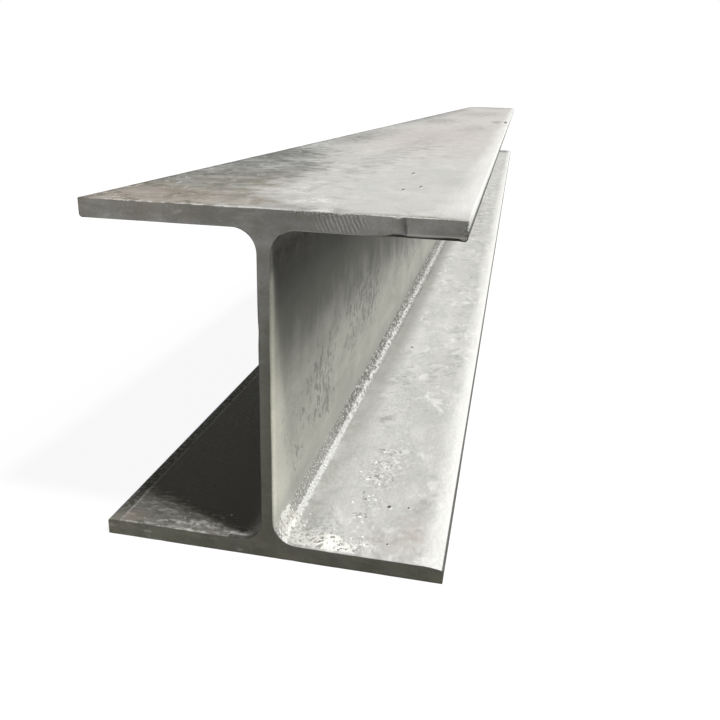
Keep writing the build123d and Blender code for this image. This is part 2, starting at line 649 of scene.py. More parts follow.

# Stains, in metres: on a face the middle and the reach along its two axes, elsewhere along
# all three, and how strong it is. The way along the beam counts from the near end.
STAINS = {
    "grime": {
        "top": [
            (-0.115, 0.06, 0.06, 0.12, 1.2), (-0.07, 0.03, 0.07, 0.05, 1.1),
            (-0.075, 0.14, 0.06, 0.11, 1.15), (-0.11, 0.33, 0.06, 0.18, 1.1),
            (-0.048, 0.06, 0.028, 0.05, 1.0), (-0.05, 0.24, 0.04, 0.10, 0.75),
            (-0.10, 0.8, 0.06, 0.4, 0.5), (-0.11, 2.2, 0.05, 1.2, 0.55),
            (-0.045, 0.010, 0.05, 0.010, 0.8), (0.0, 4.0, 0.2, 0.25, 0.9),
            (0.09, 0.002, 0.08, 0.007, 0.6), (0.06, 1.2, 0.05, 0.3, 0.4),
            (0.0, 2.4, 0.12, 0.6, 0.42), (-0.06, 1.6, 0.06, 0.3, 0.5),
            (0.02, 3.5, 0.09, 0.4, 0.42),
        ],
        "flange": [(0.09, 4.0, 0.08, 0.2, 0.9)],
        "underside": [(-0.02, 1.0, 0.13, 1.0, 0.6), (0.06, 3.1, 0.13, 0.9, 0.6)],
        "web left": [(0.33, 0.1, 0.6, 0.12, 0.6), (2.6, 0.14, 0.9, 0.09, 0.7)],
        "web right": [(1.7, 0.2, 0.7, 0.05, 0.5), (3.3, 0.09, 0.4, 0.07, 0.55)],
        "under the top": [(0.06, 2.0, 0.07, 1.4, 0.6), (-0.07, 1.1, 0.06, 1.0, 0.6)],
        "elsewhere": [(0.005, 0.4, 0.23, 0.03, 0.6, 0.03, 0.55)],
    },
    "rust": {
        "top": [
            (-0.09, 0.03, 0.07, 0.06, 1.0), (-0.03, 0.02, 0.04, 0.025, 0.55),
            (0.0, 0.85, 0.1, 0.35, 0.5), (-0.08, 2.9, 0.05, 0.4, 0.55),
        ],
        "flange": [
            (0.085, 0.02, 0.02, 0.02, 0.45), (-0.113, 0.007, 0.010, 0.008, 0.9),
            (-0.1, 1.1, 0.03, 0.4, 0.5),
        ],
        "right edge": [(0.10, 0.035, 0.016, 0.035, 0.62)],
        "web right": [(2.4, 0.1, 0.35, 0.08, 0.4)],
        "elsewhere": [
            (-0.075, 0.0, 0.2435, 0.06, 0.01, 0.02, 0.5), (0.0, 4.0, 0.12, 0.12, 0.02, 0.1, 0.4),
        ],
    },
    # Chalk: the thin lines within 2 mm of the near edge, on the top and the lower flange, are partly chalk
    # specks and partly painted highlights along the sawn edge.
    "chalk": {
        "top": [
            (0.02, 0.045, 0.022, 0.022, 0.5), (0.0, 0.085, 0.018, 0.02, 0.45),
            (-0.04, 0.0015, 0.085, 0.0025, 0.6), (-0.09, 0.0012, 0.035, 0.0020, 0.6),
            (0.036, 0.006, 0.007, 0.010, 0.8), (0.09, 0.001, 0.04, 0.0018, 0.65),
        ],
        "flange": [
            (0.057, 0.04, 0.004, 0.03, 0.48), (0.046, 0.008, 0.014, 0.009, 0.8),
            (-0.022, 0.004, 0.016, 0.005, 0.75), (-0.055, 0.010, 0.025, 0.008, 0.5),
            (-0.07, 0.0012, 0.05, 0.0022, 0.55), (0.07, 0.15, 0.03, 0.1, 0.35),
            (0.08, 1.7, 0.03, 0.4, 0.4),
        ],
        "right edge": [(0.112, 0.006, 0.012, 0.006, 0.6)],
        "elsewhere": [(0.012, 0.020, 0.018, 0.012, 0.022, 0.010, 0.6)],
    },
    "speckle": {
        "flange": [
            (0.064, 0.130, 0.013, 0.020, 1.0), (0.060, 0.105, 0.013, 0.016, 0.9),
            (0.062, 0.070, 0.009, 0.012, 0.8), (0.055, 0.25, 0.02, 0.05, 0.35),
            (0.062, 0.012, 0.012, 0.010, 0.7), (-0.09, 0.8, 0.04, 0.6, 0.4),
            (0.07, 1.4, 0.03, 0.3, 0.4),
        ],
        "elsewhere": [(0.030, 0.018, 0.014, 0.022, 0.018, 0.008, 0.85)],
    },
    "scab": {
        "web right": [
            (0.12, 0.09, 0.10, 0.06, 0.52), (0.30, 0.11, 0.16, 0.06, 0.52),
            (0.06, 0.06, 0.05, 0.04, 0.47), (0.7, 0.10, 0.3, 0.06, 0.42),
            (1.5, 0.09, 0.6, 0.06, 0.52), (2.9, 0.12, 0.6, 0.07, 0.52),
        ],
        "web left": [(1.6, 0.12, 0.9, 0.07, 0.53)],
    },
    "smear": {
        "top": [
            (-0.10, 0.06, 0.05, 0.06, 0.60), (-0.095, 0.22, 0.04, 0.09, 0.64),
            (-0.055, 0.19, 0.04, 0.07, 0.62), (-0.11, 0.40, 0.05, 0.14, 0.68),
            (-0.065, 0.09, 0.035, 0.05, 0.64), (-0.11, 0.14, 0.04, 0.07, 0.66),
            (-0.05, 0.04, 0.05, 0.03, 0.55), (-0.09, 0.10, 0.025, 0.03, 0.75),
            (0.012, 0.010, 0.045, 0.014, 0.76), (-0.10, 0.7, 0.05, 0.25, 0.50),
            (-0.118, 1.6, 0.03, 0.7, 0.60), (-0.115, 3.0, 0.04, 0.8, 0.58),
            (0.04, 0.6, 0.07, 0.3, 0.40), (-0.02, 1.5, 0.09, 0.5, 0.41),
            (0.05, 2.6, 0.08, 0.6, 0.41), (0.095, 1.62, 0.018, 0.14, 0.75),
        ],
        "flange": [
            (0.075, 0.36, 0.012, 0.035, 0.62), (0.045, 0.30, 0.02, 0.14, 0.42),
            (0.07, 1.6, 0.05, 0.60, 0.46),
        ],
    },
}

# Pits, in metres: the middle, the radius and how much longer it is along the beam.
SPOTS = [
    ((0.059, 0.242, 0.25), 0.0016, 6.0),
    ((0.0675, 0.124, 0.25), 0.0013, 5.0),
    ((0.078, 0.147, 0.25), 0.0014, 5.0),
    ((0.076, 0.067, 0.013), 0.0019, 1.3),
    ((0.091, 0.069, 0.013), 0.0012, 1.3),
    ((0.083, 0.0185, 0.013), 0.0010, 1.3),
    ((0.1165, 1.62, 0.25), 0.0045, 22.0),
]


def stain_cover(points, stains):
    """How much the stains cover each point: the strongest of their bells."""
    cover = np.zeros(len(points))
    for face, patches in stains.items():
        for *patch, amount in patches:
            middle, reach = np.reshape(patch, (2, -1))
            if face in FACES:
                axis, level, depth = FACES[face]
                middle, reach = np.insert(middle, axis, level), np.insert(reach, axis, depth)
            apart = (points - middle) / reach
            cover = np.maximum(cover, amount * np.exp(-(apart**2).sum(axis=1)))
    return cover


def root_run(x, z, section):
    """Way round the right channel from the middle of its lower root: up the web below 0.

    On the arc it is the turn from its middle times the radius, and on the web and the flange the
    straight way on from the arc's ends. Everywhere else it is 1.
    """
    radius = section.root_radius
    aside, over = section.web / 2 + radius - x, section.flange + radius - z
    quarter = radius * math.pi / 4
    run = radius * np.arctan2(over, aside) - quarter
    run = np.where(over < 0, over - quarter, run)
    run = np.where(aside < 0, quarter - aside, run)
    inside = (x > 0.001) & (z > 0.006) & (z < section.height - section.flange)
    return np.where(inside, run, 1.0)


def skin_layers(points, section):
    """Each stain's cover, the web's and the lower left channel's share, and the way round the root."""
    x, _, z = points.T
    low, high = section.flange, section.height - section.flange
    layers = {name: stain_cover(points, stains) for name, stains in STAINS.items()}
    between = (z > low - 0.003) & (z < high + 0.003)
    on_web = between & (np.abs(x) < section.web / 2 + section.root_radius + 0.001)
    layers["web"] = np.where(on_web, window(z, low + 0.001, low + 0.012, high - 0.004, high), 0.0)
    # The lower left channel's share, which carries its painted shadow.
    below = (x < 0) & (z > 0.006) & (z < low + 0.05)
    fade = smooth(-x, 0.0, 0.01) * (1 - smooth(z, low + 0.01, low + 0.05))
    layers["left"] = np.where(below, fade, 0.0)
    layers["root"] = root_run(x, z, section)
    return layers


def saw_layers(points, section):
    """Where the saw dragged; painted shade at the seam, nick and lip; a painted highlight; and a burr."""
    x, y, z = points.T
    low, high = section.flange, section.height - section.flange
    layers = {}
    dragged = window(x, 0.030, 0.038, 0.060, 0.068) * smooth(z, high, high + 0.002)
    layers["drag"] = np.where(y < 0.004, dragged, 0.0)
    on_end = (y < 0.003) & (z > high - 0.0005)
    # Painted shade: a dark line in the crease left of the seam, a patch left of it, and the web's left
    # nick at the near end.
    seam = saw_seam(x, z) + 0.0002 * waves(points[:, (0, 2)], 0.008, 2, 3)
    torn = smooth(waves(points[:, (0, 2)], 0.006, 2, 9), -1.4, -0.2)
    torn = torn * (1 - 0.6 * smooth(z, 0.2445, 0.248)) * bump(seam, -0.0005, 0.0005)
    seam_shade = 0.35 * window(seam, -0.005, -0.002, -0.001, 0.0) * smooth(z, 0.2395, 0.2415)
    nick_shade = bump(x, -section.web / 2, 0.0013) * bump(z, 0.168, 0.017)
    nick_shade = np.where((y < 0.003) & (x < 0), nick_shade, 0.0)
    layers["shaded_crease"] = np.where(on_end, np.maximum(torn, seam_shade), nick_shade)
    # Painted highlight on the seam's raised edge and on a ledge above the lip.
    ledge = bump(z, high + 0.0024, 0.0006) * smooth(x, 0.087, 0.09)
    layers["painted_highlight"] = np.where(on_end, np.maximum(bump(seam, 0.0009, 0.0007), 3.0 * ledge), 0.0)
    # Painted shade on the rounded lip under the upper right tip, and on the web's left side within 4.5 mm
    # of the near end.
    thick = 0.0029 - 0.0010 * smooth(x, 0.085, 0.09) + 0.0014 * smooth(x, 0.1, 0.118)
    under = smooth(x, 0.055, 0.085) * (1 - smooth(z - high, thick - 0.0009, thick))
    lip = np.where((y < 0.0035) & (z > high - 0.002), under, 0.0)
    beside = (y < 0.0045) & (x < -0.004) & (x > -0.03) & (z > low - 0.001) & (z < high)
    layers["lip"] = np.maximum(lip, np.where(beside, 0.85, 0.0))
    corner = smooth(x, 0.1215, 0.1235) * window(z, 0.240, 0.2415, 0.2470, 0.2485)
    upper = smooth(z, 0.2468, 0.2480) * window(x, 0.012, 0.02, 0.06, 0.07)
    layers["burr"] = np.where(y < 0.003, np.maximum(corner, 0.55 * upper), 0.0)
    return layers


def paint_attributes(mesh, section):
    """Stores the marks of the mill and of the saw as the mesh's own attributes."""
    points = np.empty(3 * len(mesh.vertices), dtype=np.float32)
    mesh.vertices.foreach_get("co", points)
    points = points.reshape(-1, 3).astype(float) - LOW_END
    for name, values in {**skin_layers(points, section), **saw_layers(points, section)}.items():
        store(mesh, name, values)


# Nodes of the materials.


def place(tree, kind, inputs=None, **settings):
    """A new shader node with its settings made and its inputs set or linked."""
    node = tree.nodes.new("ShaderNode" + kind)
    for name, value in settings.items():
        setattr(node, name, value)
    for key, value in (inputs or {}).items():
        value = getattr(value, "socket", value)
        if isinstance(value, bpy.types.NodeSocket):
            tree.links.new(value, node.inputs[key])
        else:
            node.inputs[key].default_value = value
    return node


class Wire:
    """A value on its way through a tree of nodes; each thing done to it places one more node."""

    def __init__(self, socket):
        self.socket, self.tree = socket, socket.id_data

    def into(self, kind, inputs, output=0, **settings):
        """What a new node of some kind makes of its inputs."""
        return Wire(place(self.tree, kind, inputs, **settings).outputs[output])

    def maths(self, way, *others):
        """A Math node's result."""
        return self.into("Math", dict(enumerate((self, *others))), operation=way)

    def __mul__(self, other):
        return self.maths("MULTIPLY", other)

    def __add__(self, other):
        return self.maths("ADD", other)

    def __sub__(self, other):
        return self.maths("SUBTRACT", other)

    def scaled(self, factor, added):
        """Itself times a factor, plus something."""
        return self.maths("MULTIPLY_ADD", factor, added)

    def highest(self, other):
        """The larger of itself and another."""
        return self.maths("MAXIMUM", other)

    def ramp(self, start, stop, low=0.0, high=1.0):
        """A smooth step from low to high while it goes from start to stop."""
        inputs = {"Value": self, "From Min": start, "From Max": stop, "To Min": low, "To Max": high}
        return self.into("MapRange", inputs, interpolation_type="SMOOTHSTEP")

    def band(self, start, rise, fall, stop):
        """1 while it goes from rise to fall, 0 before start and after stop."""
        return self.ramp(start, rise) * self.ramp(stop, fall)

    def mix(self, first, second):
        """The colour that lies its own share of the way from one to another."""
        return self.into("Mix", {0: self, 6: first, 7: second}, 2, data_type="RGBA")

    def shaded(self, factor):
        """A colour times a factor."""
        inputs = {0: 1.0, 6: self, 7: factor}
        return self.into("Mix", inputs, 2, data_type="RGBA", blend_type="MULTIPLY")

    def squeezed(self, *scale):
        """A place with its three axes scaled."""
        return self.into("Mapping", {"Vector": self, "Scale": scale})

    def cloud(self, scale, detail=5.0, roughness=0.6, distortion=0.0):
        """Noise at a place, from 0 to 1 and most of it near the middle."""
        inputs = {"Vector": self, "Scale": scale, "Detail": detail, "Roughness": roughness}
        return self.into("TexNoise", {**inputs, "Distortion": distortion})

    def spot(self, middle, reach, length):
        """1 inside a patch round a place, longer along the beam than across it."""
        squeeze = np.array((1.0, 1.0 / length, 1.0))
        inputs = {0: self, 1: tuple(squeeze), 2: tuple(-squeeze * (LOW_END + middle))}
        apart = self.into("VectorMath", inputs, operation="MULTIPLY_ADD")
        apart = apart.into("VectorMath", {0: apart}, "Value", operation="LENGTH")
        return apart.ramp(reach, 0.55 * reach)


def mottle(where, broad, fine):
    """Uneven grey of steel: broad clouds, fine grain and the height that goes with them."""
    broad, fine = where.cloud(broad, 7.0, 0.62, 0.3), where.cloud(fine, 4.0, 0.65)
    return broad.ramp(0.3, 0.7), fine.ramp(0.25, 0.75), fine.scaled(0.35, broad)


def blotch(where, cover, scale, softness):
    """A stain with a torn edge: noise over a threshold that falls as the cover grows."""
    level = where.cloud(scale, 6.0, 0.65, 0.4).scaled(1.6, -0.3) + cover - 1.0
    return (level.ramp(softness * -1.0, softness),)


def pits(where, scale, share):
    """Scattered pits: cells of a Voronoi pattern whose own chance falls below the share."""
    cells = place(where.tree, "TexVoronoi", {"Vector": where, "Scale": scale}).outputs
    chance, size, _ = place(where.tree, "SeparateColor", {0: cells["Color"]}).outputs
    edge = Wire(size).scaled(0.3, 0.12) - Wire(cells["Distance"])
    return (edge.ramp(0.0, 0.1) * Wire(chance).maths("LESS_THAN", share),)


# Node groups that the materials share: what works them out, their name, inputs and outputs.
GROUPS = {
    "mottle": (mottle, "Steel Mottle", {"Broad": 24.0, "Fine": 420.0}, ("Cloud", "Grain", "Height")),
    "blotch": (blotch, "Torn Blotch", {"Cover": 0.0, "Scale": 60.0, "Softness": 0.2}, ("Mask",)),
    "pits": (pits, "Rolled Pits", {"Scale": 300.0, "Share": 0.05}, ("Mask",)),
}


def shared_group(work_out, name, inputs, outputs):
    """A shader node group with a vector and named numbers going in, built the first time."""
    tree = bpy.data.node_groups.get(name)
    if tree is None:
        tree = bpy.data.node_groups.new(name, "ShaderNodeTree")
        tree.interface.new_socket("Vector", in_out="INPUT", socket_type="NodeSocketVector")
        for label, default in inputs.items():
            socket = tree.interface.new_socket(label, in_out="INPUT", socket_type="NodeSocketFloat")
            socket.default_value = default
        for label in outputs:
            tree.interface.new_socket(label, in_out="OUTPUT", socket_type="NodeSocketFloat")
        given = tree.nodes.new("NodeGroupInput").outputs
        result = tree.nodes.new("NodeGroupOutput").inputs
        made = work_out(*(Wire(given[label]) for label in ("Vector", *inputs)))
        for label, wire in zip(outputs, made):
            tree.links.new(wire.socket, result[label])
    return tree


class Coat:
    """A material being laid on: its nodes, the piece's own coordinates and the colour so far."""

    def __init__(self, name):
        self.material = bpy.data.materials.new(name)
        self.material.use_nodes = True
        self.tree = self.material.node_tree
        self.where = Wire(place(self.tree, "TexCoord").outputs["Object"])
        self.colour = None

    def axes(self):
        """The piece's coordinates, each by itself."""
        return [Wire(axis) for axis in place(self.tree, "SeparateXYZ", {0: self.where}).outputs]

    def layer(self, name):
        """One of the piece's own attributes."""
        return Wire(place(self.tree, "Attribute", attribute_name=name).outputs["Fac"])

    def shared(self, key, *inputs):
        """What a shared node group puts out, given its inputs in order."""
        inputs = dict(enumerate(inputs))
        node = place(self.tree, "Group", inputs, node_tree=shared_group(*GROUPS[key]))
        return [Wire(output) for output in node.outputs]

    def stain(self, name, scale, softness):
        """A stain's torn mask."""
        return self.shared("blotch", self.where, self.layer(name), scale, softness)[0]

    def lay(self, mask, colour):
        """Lays a colour over the one so far, where a mask says."""
        self.colour = mask.mix(self.colour, colour)

    def tint(self, mask, colour, strength):
        """Lays a colour over the one so far, where a mask says and as strong as given."""
        self.lay(mask * strength, colour)

    def shade(self, factor):
        """Multiplies the colour so far."""
        self.colour = self.colour.shaded(factor)

    def finished(self, rough, metal, height, depth):
        """The material with its colour, gloss and relief, which is a height in shares of a depth."""
        shader = self.tree.nodes["Principled BSDF"].inputs
        bumps = height.into("Bump", {"Height": height, "Distance": depth, "Strength": 1.0})
        for name, wire in {"Base Color": self.colour, "Roughness": rough, "Normal": bumps}.items():
            self.tree.links.new(wire.socket, shader[name])
        shader["Metallic"].default_value = metal
        shader["Specular IOR Level"].default_value = DULL_SPECULAR
        return self.material


def lay_burr(coat, colours):
    """Lays on the bright and dark crumbs of the burr on the upper flange's near corner."""
    burr, crumbs = coat.layer("burr"), coat.where.cloud(1000.0, 2.0, 0.7)
    coat.tint(burr * crumbs.ramp(0.53, 0.57), colours.tip, 0.7)
    coat.tint(burr * crumbs.ramp(0.46, 0.42), colours.chalk, 0.5)


def lay_root_strip(coat, colours, near, rolled):
    """Lays on the right root's gritty pale strip, partly a painted highlight, between dull sides that
    are partly painted shade; its pale and dark grit.

    All of it is placed by the way round the section, roughened a little.
    """
    where, tint = coat.where, coat.tint
    way = where.cloud(300.0, 3.0).scaled(0.005, coat.layer("root")) - 0.0025
    strip_way = way * near.ramp(0.3, 1.0, 1.0, 0.7)
    clumps = where.cloud(34.0, 2.0).ramp(0.4, 0.6)
    inner = near.ramp(0.08, 0.3)
    # Duller sides of the strip: partly dull skin and partly painted shade that keeps the fillet's
    # highlight narrow.
    tint(way.band(-0.03, -0.012, -0.002, 0.001), colours.root_shade, 0.6)
    skirt_and_shade = way.band(0.004, 0.007, 0.014, 0.036) * near.ramp(0.1, 0.5, 0.6, 0.85)
    coat.lay(skirt_and_shade, colours.root_shade)
    tint(way.band(0.0045, 0.006, 0.009, 0.02) * clumps, colours.root_shade, 0.6)
    fringe = strip_way.band(-0.0095, -0.0065, 0.0, 0.002)
    tint(fringe, colours.root_shade, 0.95)
    # The pale core: partly scale and partly a painted highlight where the fillet faces the key light.
    pale_core_and_highlight = strip_way.band(0.0002, 0.0014, 0.0045, 0.0062)
    coat.lay(pale_core_and_highlight * near.ramp(0.15, 0.6, 0.9, 0.35), colours.strip)
    grit = inner.mix(where.cloud(620.0, 2.0, 0.7), rolled.cloud(330.0, 2.0, 0.7))
    clumped = inner.scaled(-0.035, clumps.scaled(-0.05, grit + 0.05))
    sparse = inner.scaled(-0.05, grit)
    dark_grit = (fringe * clumped.ramp(0.51, 0.47)).highest(pale_core_and_highlight * sparse.ramp(0.42, 0.38))
    dark_grit = dark_grit * near.ramp(0.08, 0.25, 0.5, 0.95)
    tint(dark_grit, colours.pit, 0.9)
    pale_grit = (fringe * 0.6).highest(pale_core_and_highlight) * grit.ramp(0.55, 0.59)
    coat.lay(pale_grit * near.ramp(0.3, 0.8, 0.6, 0.45), colours.chalk)
    # Painted shade over the root further in, and a painted shadow line beside the far part of the strip.
    tint(strip_way.band(-0.0125, -0.009, 0.007, 0.0125) * inner, colours.soot, 0.16)
    shadow_line = strip_way.band(0.0054, 0.0064, 0.0078, 0.009) * near.ramp(0.3, 0.7)
    tint(shadow_line * rolled.cloud(60.0, 3.0).ramp(0.36, 0.56), colours.soot, 0.45)
    return pale_grit, dark_grit


def rolled_skin(colours, section):
    """Mill skin: mottled grey, duller on the web, with grime, rust bloom, chalk, scabs and pits.

    Stains come from the mesh's attributes, and the dark tips and pale right edges of the flanges
    from the piece's own coordinates; the pale edges are partly painted highlights. Painted shade
    darkens the upper web, the lower left channel, the lip and the root's sides. Colours are laid on
    one over the other.
    """
    coat = Coat("rolled_skin")
    where, layer, tint = coat.where, coat.layer, coat.tint
    x, y, z = coat.axes()
    near, half = y - LOW[1], section.flange_width / 2
    below, above = z.ramp(0.03, 0.02), z.ramp(0.2, 0.22)
    rolled = where.squeezed(1.0, 0.4, 1.0)
    clouds, grain, height = coat.shared("mottle", rolled, 26.0, 520.0)

    # Clean skin: warm on the top, with cooler and chalkier patches, and dabs on the lower flange.
    coat.colour = clouds.mix(colours.skin_shade, colours.skin)
    coat.lay(above * near.ramp(0.2, 0.8, 0.3, 0.8), colours.warm)
    patchy = where.squeezed(0.9, 0.5, 1.0).cloud(48.0, 6.0, 0.62, 0.8)
    calm = above * near.ramp(0.2, 0.6)
    tint(patchy.ramp(0.48, 0.60) * calm.scaled(-0.6, 1.0), colours.cool, 0.55)
    tint(patchy.ramp(0.42, 0.30), colours.chalk, 0.24)
    crossed = where.squeezed(0.75, 0.5, 1.0).cloud(95.0, 4.0, 0.58, 0.8)
    patches = below * where.cloud(17.0, 3.0).ramp(0.4, 0.6)
    tint(patches * crossed.ramp(0.53, 0.64), colours.chalk, 0.55)
    tint(patches * crossed.ramp(0.46, 0.36), colours.root_shade, 0.4)
    tint(x.ramp(-0.01, -half) * above, colours.cool, 0.5)

    # Web: dull, with painted shade that darkens it upwards under the upper flange, and lightened
    # beside the near end, partly rubbed skin and partly painted light.
    web = layer("web")
    # Painted shade under the upper flange: the web darkens upwards from a streaky edge that lies lower
    # further from the near end, and more just under the upper root.
    shade_streaks = where.squeezed(0.5, 0.9, 0.55).cloud(24.0, 6.0, 0.6, 0.6)
    level = near.ramp(0.2, 0.7).scaled(0.03, shade_streaks.scaled(0.12, z))
    upper_shade = shade_streaks.ramp(0.3, 0.7, 0.96, 1.04) * z.ramp(0.206, 0.222, 1.0, 0.5)
    dull = clouds.mix(colours.web_shade, colours.web)
    coat.lay(web, dull.shaded(level.ramp(0.164, 0.239, 1.14, 0.46) * upper_shade))
    # Partly rubbed skin and partly painted light: the web is lightened beside the near end, where light
    # reaches in under the flange, and in a narrow band along the top of its sawn edge.
    tint(web * near.ramp(0.045, 0.0) * z.ramp(0.2, 0.125), colours.rubbed_and_painted_light, 0.3)
    tint(web * near.ramp(0.009, 0.003) * z.ramp(0.216, 0.2), colours.rubbed_and_painted_light, 0.3)

    # Lower left channel: a darker grey where the side light reaches in by the near end, and painted
    # shadow beyond the web's shadow line, with a combed edge.
    left = layer("left")
    # The painted shadow's edge follows the web's shadow line, about 0.36 times the way out from the web.
    torn = where.cloud(90.0, 4.0).scaled(0.02, x.scaled(0.36, near + 0.0072))
    coat.lay(left, torn.ramp(0.012, 0.026).mix(colours.left_near, colours.left))
    combed = where.squeezed(0.4, 1.1, 1.0).cloud(230.0, 4.0, 0.65, 0.6)
    edge = left * torn.ramp(0.034, 0.02)
    tint(edge * combed.ramp(0.53, 0.6), colours.chalk, 0.3)
    tint(edge * combed.ramp(0.45, 0.39), colours.tip, 0.38)

    # Grime, smears and rust, scratches and flecks in the grime, and scabs on the web.
    strokes = where.cloud(42.0, 5.0, 0.65, 0.5)
    dirty = near.ramp(0.1, 0.3).mix(colours.grime, colours.soot)
    coat.lay(coat.stain("grime", 60.0, 0.4) * strokes.ramp(0.36, 0.6, 0.5, 0.95), dirty)
    tint(coat.stain("smear", 55.0, 0.2), colours.soot, 0.45)
    tint(coat.stain("rust", 80.0, 0.5), colours.rust, 0.42)
    scratch = rolled.cloud(170.0, 5.0, 0.68, 0.9)
    scratched = near.scaled(0.12, x).ramp(0.0, -0.07) * above * strokes.ramp(0.40, 0.58)
    tint(scratch.ramp(0.53, 0.58) * scratched, colours.soot, 0.85)
    tint(scratch.ramp(0.41, 0.37) * scratched, colours.chalk, 0.38)
    flecks = coat.shared("pits", where.squeezed(1.0, 0.12, 1.0), 230.0, 0.09)[0]
    tint(flecks * scratched, colours.chalk, 0.9)
    clusters = layer("scab") + where.cloud(26.0, 3.0).scaled(0.8, -0.42)
    scab = coat.shared("blotch", where.squeezed(0.5, 1.0, 0.75), clusters, 160.0, 0.06)[0]
    scab = scab * layer("scab").ramp(0.1, 0.3)
    tint(scab, colours.soot, 0.55)

    pale_grit, dark_grit = lay_root_strip(coat, colours, near, rolled)

    # Chalk, specks and pits, the flanges' pale right bands, and the listed pits.
    tint(coat.stain("chalk", 210.0, 0.2), colours.chalk, 0.7)
    speckle, specks = layer("speckle"), where.cloud(360.0, 3.0, 0.7)
    tint(speckle * specks.ramp(0.53, 0.56), colours.pit, 0.4)
    tint(speckle * specks.ramp(0.47, 0.44), colours.chalk, 0.5)
    holes = coat.shared("pits", where, 120.0, 0.012)[0]
    tint(holes, colours.pit, 0.7)
    # Pale bands along the right edges of the lower flange and the top, partly painted highlights.
    ragged = where.squeezed(1.0, 0.1, 1.0).cloud(60.0, 4.0).scaled(0.024, x)
    crest_and_highlight = ragged.ramp(half - 0.013, half + 0.011) * above * near.ramp(0.0, 0.05)
    pale_bands_and_highlight = (ragged.ramp(half - 0.013, half + 0.008) * below).highest(crest_and_highlight)
    tint(pale_bands_and_highlight, colours.chalk, 0.8)
    for middle, reach, length in SPOTS:
        beside = np.array(middle) + (0.9 * reach, -0.8 * reach * length, 0.0)
        tint(where.spot(beside, 0.8 * reach, length), colours.chalk, 0.75)
        hole = where.spot(middle, reach, length)
        tint(hole, colours.tip, 0.85)
        holes = holes.highest(hole)

    # Lower left tip's hem and the line beside it, the upper left rim, dark tips, the lip's painted shade
    # and the burr.
    hem = x.ramp(0.0105 - half, 0.0095 - half) * below
    tint(hem, colours.left_near, 0.8)
    crumbs = where.cloud(240.0, 4.0).ramp(0.4, 0.54) * hem * near.ramp(0.0, 0.03)
    tint(crumbs, colours.tip, 0.8)
    line = x.band(0.009 - half, 0.0102 - half, 0.0112 - half, 0.0125 - half) * below
    tint(line * where.cloud(70.0, 4.0).ramp(0.36, 0.5), colours.chalk, 0.22)
    rim = x.ramp(0.012 - half, -half) * above * scratch.ramp(0.43, 0.52)
    tint(rim, colours.tip, 0.6)
    lit = z.ramp(0.2425, 0.2455) * x.ramp(0.0, 0.1)
    tips = x.maths("ABSOLUTE").ramp(half - 0.0018, half - 0.0008) * lit.scaled(-1.0, 1.0)
    tint(tips, colours.tip, 0.95)
    # Painted shade on the lip under the upper right tip and beside the web's left edge.
    coat.lay(layer("lip"), colours.tip)
    lay_burr(coat, colours)

    coat.shade(grain.ramp(0.0, 1.0, 0.93, 1.06))
    rough = grain.ramp(0.0, 1.0, colours.smooth_gloss, colours.rough_gloss)
    relief = (holes + scab + dark_grit).scaled(-0.5, pale_grit.scaled(0.5, height))
    return coat.finished(rough, colours.skin_metal, relief, 0.0003)


def sawn_end(colours):
    """Sawn steel: dark grey that deepens towards the foot, partly as painted shade, with drag marks
    across the upper flange.

    Tarnish and scuffs lie under the saw's marks; rust, a painted contact shadow at the foot and pits
    over them.
    """
    coat = Coat("sawn_end")
    where, layer, tint = coat.where, coat.layer, coat.tint
    x, _, z = coat.axes()
    clouds, grain, height = coat.shared("mottle", where, 38.0, 640.0)
    # Darker towards the foot: partly the sawn face's own colour and partly painted shade.
    coat.colour = z.ramp(0.02, 0.25).mix(colours.sawn_low_and_shade, colours.sawn)
    coat.shade(clouds.ramp(0.0, 1.0, 0.84, 1.12))
    drawn = where.squeezed(0.45, 1.0, 1.4)
    coat.lay(drawn.cloud(60.0, 4.0, 0.6).ramp(0.44, 0.62, 0.0, 0.5), colours.tarnish)
    coat.shade(x.ramp(-0.01, -0.08, 1.0, 1.28))
    tint(x.band(-0.005, 0.002, 0.005, 0.009) * z.ramp(0.2, 0.17), colours.sawn_low_and_shade, 0.6)
    coat.shade(grain.ramp(0.0, 1.0, 0.92, 1.08))
    scuff = drawn.cloud(130.0, 4.0, 0.65).ramp(0.56, 0.66) * x.ramp(0.02, -0.05)
    tint(scuff, colours.chalk, 0.22)
    turned = where.into("Mapping", {"Vector": where, "Rotation": (0.0, math.radians(24.0), 0.0)})
    inputs = {"Vector": turned, "Scale": 128.0, "Distortion": 3.0, "Detail": 2.0, "Detail Scale": 1.0}
    lines = turned.into("TexWave", inputs, "Fac", bands_direction="X")
    dragged = layer("drag") * where.cloud(170.0, 3.0, 0.6).ramp(0.36, 0.56)
    drag = lines.ramp(0.3, 1.0) * dragged
    tint(drag, colours.scale_light, 0.11)
    tint(lines.ramp(0.4, 0.0) * dragged, colours.tarnish, 0.3)
    # Painted shade in the seam's crease and the web's left nick, and a painted highlight on the seam's
    # edge and ledge.
    tint(layer("shaded_crease"), colours.tip, 0.7)
    tint(layer("painted_highlight"), colours.chalk, 0.12)
    lay_burr(coat, colours)
    tint(coat.stain("rust", 60.0, 0.5), colours.rust, 0.2)
    # Painted contact shadow along the foot of the end face.
    foot = z.ramp(0.0024, 0.0004) * x.ramp(-0.11, -0.05)
    tint(foot * where.cloud(110.0, 4.0).ramp(0.36, 0.5), colours.tip, 0.6)
    tint(coat.shared("pits", where, 210.0, 0.03)[0], colours.pit, 0.5)
    rough = grain.ramp(0.0, 1.0, 0.42, 0.6)
    return coat.finished(rough, colours.sawn_metal, drag.scaled(0.7, height), 0.0002)


